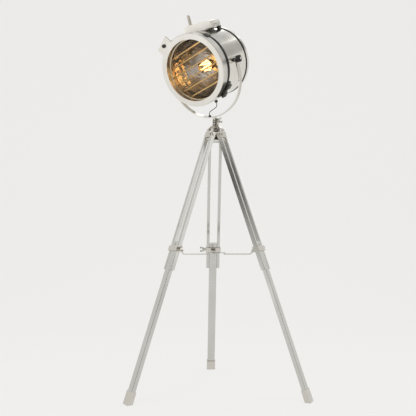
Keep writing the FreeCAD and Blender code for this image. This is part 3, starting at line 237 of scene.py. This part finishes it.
def noise(tree, vector, scale, detail, rough):
    node = tree.nodes.new("ShaderNodeTexNoise")
    node.inputs["Scale"].default_value = scale
    node.inputs["Detail"].default_value = detail
    node.inputs["Roughness"].default_value = rough
    tree.links.new(vector, node.inputs["Vector"])
    return node.outputs["Fac"]


def spread(tree, source, low, high):
    """A noise's middle range laid over low to high."""
    node = tree.nodes.new("ShaderNodeMapRange")
    node.inputs["From Min"].default_value = 0.3
    node.inputs["From Max"].default_value = 0.7
    node.inputs["To Min"].default_value = low
    node.inputs["To Max"].default_value = high
    tree.links.new(source, node.inputs["Value"])
    return node.outputs["Result"]


def bump(tree, shader, height, strength, distance, before=None):
    node = tree.nodes.new("ShaderNodeBump")
    node.inputs["Strength"].default_value = strength
    node.inputs["Distance"].default_value = distance
    tree.links.new(height, node.inputs["Height"])
    if before is not None:
        tree.links.new(before, node.inputs["Normal"])
    tree.links.new(node.outputs["Normal"], shader.inputs["Normal"])
    return node.outputs["Normal"]


def metal(name, color, low, high, matrix=Matrix(), stretch=(1, 1, 1), grain=900.0, depth=0.00001,
          tint=0.06, spun=False):
    """Plated or polished metal: smudges in its gloss, brush marks, and slight tarnish."""
    material, tree, shader = new_material(name)
    shader.inputs["Metallic"].default_value = 1.0
    plain = texture_space(tree, matrix)
    marks = spun_space(tree, matrix) if spun else texture_space(tree, matrix, stretch)
    smudge = noise(tree, plain, 16.0, 5.0, 0.6)
    streak = noise(tree, marks, grain, 2.0, 0.6)
    gloss = maths(tree, "ADD", maths(tree, "MULTIPLY", smudge, 0.7),
                  maths(tree, "MULTIPLY", streak, 0.3))
    tree.links.new(spread(tree, gloss, low, high), shader.inputs["Roughness"])
    patina = noise(tree, plain, 6.0, 4.0, 0.55)
    # tarnish takes a little more of the green and most of the blue, so it yellows the metal
    red, green, blue = color
    dull = (red * (1 - tint), green * (1 - tint * 1.15), blue * (1 - tint * 1.5))
    tree.links.new(ramp(tree, patina, [(0.35, dull), (0.65, color)]), shader.inputs["Base Color"])
    bump(tree, shader, streak, 0.35, depth)
    return material


def hammered(name, color, matrix):
    """The reflector's bright sheet, pressed with small flats that scatter light in streaks."""
    material, tree, shader = new_material(name)
    shader.inputs["Metallic"].default_value = 1.0
    plain = texture_space(tree, matrix)
    cells = tree.nodes.new("ShaderNodeTexVoronoi")
    cells.feature = "SMOOTH_F1"
    cells.inputs["Scale"].default_value = 60.0
    cells.inputs["Smoothness"].default_value = 0.5
    tree.links.new(texture_space(tree, matrix, (1, 0.3, 1)), cells.inputs["Vector"])
    patina = noise(tree, plain, 9.0, 4.0, 0.6)
    dull = tuple(c * 0.45 for c in color)
    tree.links.new(ramp(tree, patina, [(0.35, dull), (0.65, color)]), shader.inputs["Base Color"])
    tree.links.new(spread(tree, patina, 0.16, 0.30), shader.inputs["Roughness"])
    waves = bump(tree, shader, noise(tree, plain, 30.0, 3.0, 0.5), 0.35, 0.002)
    bump(tree, shader, cells.outputs["Distance"], 0.5, 0.004, waves)
    return material


def coated(name, color, low, high, grain=1500.0, depth=0.00004, metallic=0.0):
    """Moulded plastic, rubber, enamel or blackened metal."""
    material, tree, shader = new_material(name)
    plain = texture_space(tree)
    shader.inputs["Metallic"].default_value = metallic
    wear = noise(tree, plain, 60.0, 4.0, 0.6)
    pale = tuple(min(1.0, c * 1.6 + 0.012) for c in color)
    tree.links.new(ramp(tree, wear, [(0.4, color), (0.75, pale)]), shader.inputs["Base Color"])
    tree.links.new(spread(tree, wear, low, high), shader.inputs["Roughness"])
    bump(tree, shader, noise(tree, plain, grain, 2.0, 0.5), 0.4, depth)
    return material


def glowing(name, color, strength):
    """Hot wire, a little brighter where it is hottest."""
    _, tree, shader = new_material(name)
    shader.inputs["Base Color"].default_value = (*color, 1)
    heat = noise(tree, texture_space(tree), 120.0, 2.0, 0.5)
    hot = tuple(min(1.0, c * 1.5 + 0.1) for c in color)
    tree.links.new(ramp(tree, heat, [(0.3, color), (0.7, hot)]), shader.inputs["Emission Color"])
    shader.inputs["Emission Strength"].default_value = strength


def clear_glass(name):
    _, tree, shader = new_material(name)
    shader.inputs["Base Color"].default_value = (1.0, 0.97, 0.90, 1)
    shader.inputs["Transmission Weight"].default_value = 1.0
    shader.inputs["IOR"].default_value = 1.46
    plain = texture_space(tree)
    smears = noise(tree, plain, 40.0, 4.0, 0.6)
    tree.links.new(spread(tree, smears, 0.01, 0.05), shader.inputs["Roughness"])
    bump(tree, shader, noise(tree, plain, 90.0, 2.0, 0.5), 0.1, 0.0002)


def coat(name, material):
    mesh = nodes[name].data
    mesh.materials.clear()
    mesh.materials.append(material)


def smooth(mesh, angle):
    """Smooth shading up to an edge angle, with no change to the mesh's points."""
    for polygon in mesh.polygons:
        polygon.use_smooth = True
    mesh.set_sharp_from_angle(angle=math.radians(angle))


def dress():
    """A material for every CAD node."""
    nickel = metal("nickel", (0.64, 0.62, 0.575), 0.06, 0.14)
    cast = metal("cast_nickel", (0.66, 0.64, 0.595), 0.14, 0.26, grain=500.0, depth=0.00003)
    drum = metal("drum_nickel", (0.80, 0.78, 0.73), 0.12, 0.22, HEAD, grain=420.0, depth=0.00002,
                 spun=True)
    face = metal("satin_nickel", (0.78, 0.76, 0.715), 0.30, 0.42, HEAD, depth=0.00003, spun=True)
    # painted reflection: the handle's cream colour stands in for pale studio light on its metal
    grip = coated("handle_painted_sheen", (0.60, 0.56, 0.49), 0.28, 0.42, 900.0, 0.00003, metallic=0.35)
    cowl = metal("cowl_nickel", (0.84, 0.82, 0.78), 0.28, 0.40, HEAD, (1, 0.15, 1), 600.0, 0.00003)
    # painted light: the slats' golden colour stands in for the bulb's warm light on nickel
    slat = metal("slat_painted_bulb_light", (1.0, 0.70, 0.34), 0.30, 0.46, HEAD, grain=500.0, tint=0.3)
    # painted light: the grille rim's warm tint stands in for the bulb's light on nickel
    rim = metal("rim_painted_bulb_light", (0.88, 0.78, 0.62), 0.24, 0.36, HEAD, grain=500.0, spun=True)
    mirror = hammered("hammered_mirror", (0.60, 0.55, 0.49), HEAD @ turn("Z", 55))
    brass = metal("brass", (0.72, 0.53, 0.26), 0.16, 0.28)
    knob = coated("knob_plastic", (0.018, 0.017, 0.016), 0.28, 0.45)
    black = coated("blackened", (0.060, 0.056, 0.046), 0.30, 0.48, metallic=0.7)
    rubber = coated("rubber", (0.020, 0.019, 0.018), 0.6, 0.8, 700.0, 0.00012)
    special = {
        "grille_slats": slat, "grille_rim": rim, "door_ring": face, "reflector": mirror,
        "drum_shell": drum, "rear_cover": drum, "tilt_pivots": drum, "vent_cowl": cowl,
        "aiming_handle": grip, "bulb_cap": brass, "latch_screw": knob, "cable_gland": cast,
        "tilt_knob_left": knob, "tilt_knob_right": knob,
    }
    for name in ("lead_grommet", "lead", "door_gasket", "rear_trim"):
        special[name] = rubber
    for name in ("ring_clip", "hinge_pin", "drum_hinge_leaf", "door_hinge_leaf", "swivel_nut",
                 "lamp_holder", "vent_feet", "latch_lug"):
        special[name] = black
    for name in nodes:
        smooth(nodes[name].data, 32)
        if name in special:
            coat(name, special[name])
        elif name.endswith(("_clamp", "_foot", "_top_bracket")):
            coat(name, cast)
        else:
            coat(name, nickel)
    for leg, matrix in LEGS.items():
        bar = metal("leg_tube_" + leg, (0.63, 0.63, 0.605), 0.13, 0.24, matrix, (1, 1, 0.02),
                    700.0, 0.00003)
        coat("leg_%s_rails" % leg, bar)
        coat("leg_%s_lower_bar" % leg, bar)


# ---------------------------------------------------------------- mesh helpers

def link(name, mesh, material, body, matrix=Matrix()):
    """Adds a piece that rides on a body, with its place written into its mesh."""
    mesh.transform(matrix)
    obj = add(name, mesh)
    mesh.materials.append(bpy.data.materials[material])
    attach(obj, body)
    return obj


def directions(sides):
    """Cosine and sine of evenly spaced directions."""
    angles = [2 * math.pi * step / sides for step in range(sides)]
    return [(math.cos(angle), math.sin(angle)) for angle in angles]


def as_data(mesh, name):
    data = bpy.data.meshes.new(name)
    mesh.to_mesh(data)
    mesh.free()
    return data


def lathe(name, profile, sides):
    """A surface turned about Z from (radius, height) points in millimetres, closed at radius 0."""
    mesh = bmesh.new()
    rings = []
    for radius, height in profile:
        if radius == 0:
            rings.append([mesh.verts.new((0, 0, height * MM))])
            continue
        rings.append([mesh.verts.new((radius * MM * cosine, radius * MM * sine, height * MM))
                      for cosine, sine in directions(sides)])
    for low, high in zip(rings, rings[1:]):
        if len(low) == len(high) == 1:
            continue
        for step in range(sides):
            follow = (step + 1) % sides
            corners = (low[step % len(low)], low[follow % len(low)],
                       high[follow % len(high)], high[step % len(high)])
            mesh.faces.new(list(dict.fromkeys(corners)))
    bmesh.ops.recalc_face_normals(mesh, faces=mesh.faces)
    data = as_data(mesh, name)
    smooth(data, 40)
    return data


def tube(points, radius, sides=14):
    """A round tube mesh along points, with its ends closed."""
    mesh = bmesh.new()
    rings = []
    side = Vector((1, 0, 0))
    for index, point in enumerate(points):
        ahead = points[min(index + 1, len(points) - 1)] - points[max(index - 1, 0)]
        ahead.normalize()
        side = side - ahead * side.dot(ahead)
        if side.length < 0.01:
            side = ahead.orthogonal()
        side.normalize()
        other = ahead.cross(side)
        rings.append([mesh.verts.new(point + side * (radius * cosine) + other * (radius * sine))
                      for cosine, sine in directions(sides)])
    for low, high in zip(rings, rings[1:]):
        for step in range(sides):
            follow = (step + 1) % sides
            mesh.faces.new((low[step], low[follow], high[follow], high[step]))
    mesh.faces.new(list(reversed(rings[0])))
    mesh.faces.new(rings[-1])
    data = as_data(mesh, "tube")
    for polygon in data.polygons:
        polygon.use_smooth = len(polygon.vertices) == 4
    return data


def merged(name, meshes):
    """Several meshes as one."""
    mesh = bmesh.new()
    for data in meshes:
        mesh.from_mesh(data)
    return as_data(mesh, name)


# ---------------------------------------------------------------- pieces

def lead():
    """The short lead from the drum's gland to the yoke, a smooth line led by the route's points."""
    points = [(0.005429, 0.007205, 1.270677), (0.0090, 0.0120, 1.2572), (-0.0100, 0.0062, 1.2412),
              (-0.0295, 0.0004, 1.2268), (-0.026845, 0.004255, 1.213359)]
    diameter = 0.0032
    curve = bpy.data.curves.new("lead_route", "CURVE")
    curve.dimensions = "3D"
    curve.resolution_u = 12
    spline = curve.splines.new("NURBS")
    spline.points.add(len(points) - 1)
    for point, where in zip(spline.points, points):
        point.co = (*where, 1)
    spline.order_u = 3
    spline.use_endpoint_u = True
    line = add("lead_route", curve)
    bpy.context.view_layer.update()
    smoothed = line.evaluated_get(bpy.context.evaluated_depsgraph_get())
    traced = bpy.data.meshes.new_from_object(smoothed)
    path = [vertex.co.copy() for vertex in traced.vertices]
    bpy.data.objects.remove(line)
    obj = add("lead_cable", tube(path, diameter / 2))
    obj.data.materials.append(bpy.data.materials["rubber"])
    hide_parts("lead")
    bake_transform(obj)


def bulb():
    """A blown globe on the brass cap, with its stem and a zigzag filament."""
    clear_glass("clear_glass")
    glowing("hot_wire", (1.0, 0.46, 0.13), 4.5)
    wall, crown = 0.9, 60
    outer = [(12.5, 0), (12.5, 5), (13.2, 11), (15.2, 17), (19.0, 24), (23.6, 31.5), (27.4, 39.5),
             (29.6, 48), (30.0, 54), (29.2, 61), (26.8, 67.6), (22.6, 73.8), (16.8, 79),
             (9.4, 82.7), (3.5, 83.9), (0, 84)]
    inner = [(max(0.0, radius - wall), height - (wall if height > crown else 0))
             for radius, height in outer]
    sheet = [(radius, BULB_BASE + height) for radius, height in outer + inner[::-1]]
    globe = link("bulb_globe", lathe("globe", sheet, sides=64), "clear_glass", "head", HEAD)
    globe.visible_shadow = False
    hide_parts("bulb_glass")
    profile = [(9, 0.2), (8, 6), (4.5, 14), (3.2, 24), (3.6, 30), (2.4, 33), (0, 34)]
    support = lathe("stem", profile, sides=24)
    support.transform(shift(0, 0, BULB_BASE * MM))
    stem = link("bulb_stem", support, "clear_glass", "head", HEAD)
    stem.visible_shadow = False
    loops, steps, wire_radius = 6, 8, 0.0006
    foot_radius, foot_height, tip_radius, tip_height = 5, 34, 11, 66

    def bend(angle, radius, height):
        return Vector((math.cos(angle) * radius, math.sin(angle) * radius, BULB_BASE + height)) * MM

    wires = []
    for loop in range(loops):
        angle = 2 * math.pi * loop / loops
        middle = angle + math.pi / loops
        low = bend(angle, foot_radius, foot_height)
        high = bend(middle, tip_radius, tip_height)
        again = bend(middle + math.pi / loops, foot_radius, foot_height)
        rise = [low.lerp(high, step / steps) for step in range(steps + 1)]
        fall = [high.lerp(again, step / steps) for step in range(1, steps + 1)]
        wires.append(tube(rise + fall, wire_radius, sides=6))
    link("bulb_filament", merged("filament", wires), "hot_wire", "head", HEAD)


def black_bands():
    """The black bands round the drum: a painted shadow over its front bead, for the shaded gap
    behind the door ring, and a rubber band against the rear bead.
    """
    front = [(148.4, 25.0), (149.8, 25.4), (150.2, 26.2), (150.2, 38.8), (151.1, 39.6),
             (151.1, 48.5), (150.4, 49.0)]
    rear = [(148.4, -138.5), (150.2, -138.5), (150.4, -137.8), (150.4, -131.4), (150.0, -130.8),
            (148.4, -130.6)]
    # painted shadow: a black sheet over the front bead, where the gap behind the door ring is in
    # shade
    link("front_shadow_band", lathe("front_shadow_band", front, sides=128), "rubber", "head", HEAD)
    band = link("rear_band", lathe("rear_band", rear, sides=128), "rubber", "head", HEAD)
    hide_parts("rear_trim")


def slat_edges():
    """The rolled front edges of the grille's slats."""
    roll_radius, side_gap, end_gap, set_back = 0.0030, 0.0002, 0.0005, 0.0012
    steps = 12
    grille = HEAD @ turn("Z", SLAT_TURN)
    inside = grille.inverted()
    front = max((inside @ vertex.co).z for vertex in nodes["grille_slats"].data.vertices)
    rolls = []
    for index in range(SLATS):
        level = (index - (SLATS - 1) / 2) * SLAT_PITCH
        height = abs(level) + roll_radius + side_gap
        reach = math.sqrt(RIM_INSIDE ** 2 - height ** 2) - end_gap
        path = [Vector((reach * step / steps, level, front - set_back))
                for step in range(-steps, steps + 1)]
        rolls.append(tube(path, roll_radius))
    # the rolled edges carry the slats' golden painted light
    link("slat_edges", merged("rolls", rolls), "slat_painted_bulb_light", "door", grille)


def gland_nut():
    """The black dome nut over the cable gland."""
    gland = HEAD @ shift(0, -DRUM_RADIUS, -GLAND_SETBACK) @ turn("X", 90)
    dome = [(4.9, 8.6), (6.4, 9.6), (7.4, 11.8), (7.5, 14.0), (7.4, 16.2), (6.4, 18.2),
            (4.9, 19.6), (3.3, 20.6)]
    link("gland_nut", lathe("gland_nut", dome, sides=40), "knob_plastic", "head", gland)


camera()
studio()
floor()
dress()
lead()
bulb()
black_bands()
slat_edges()
gland_nut()
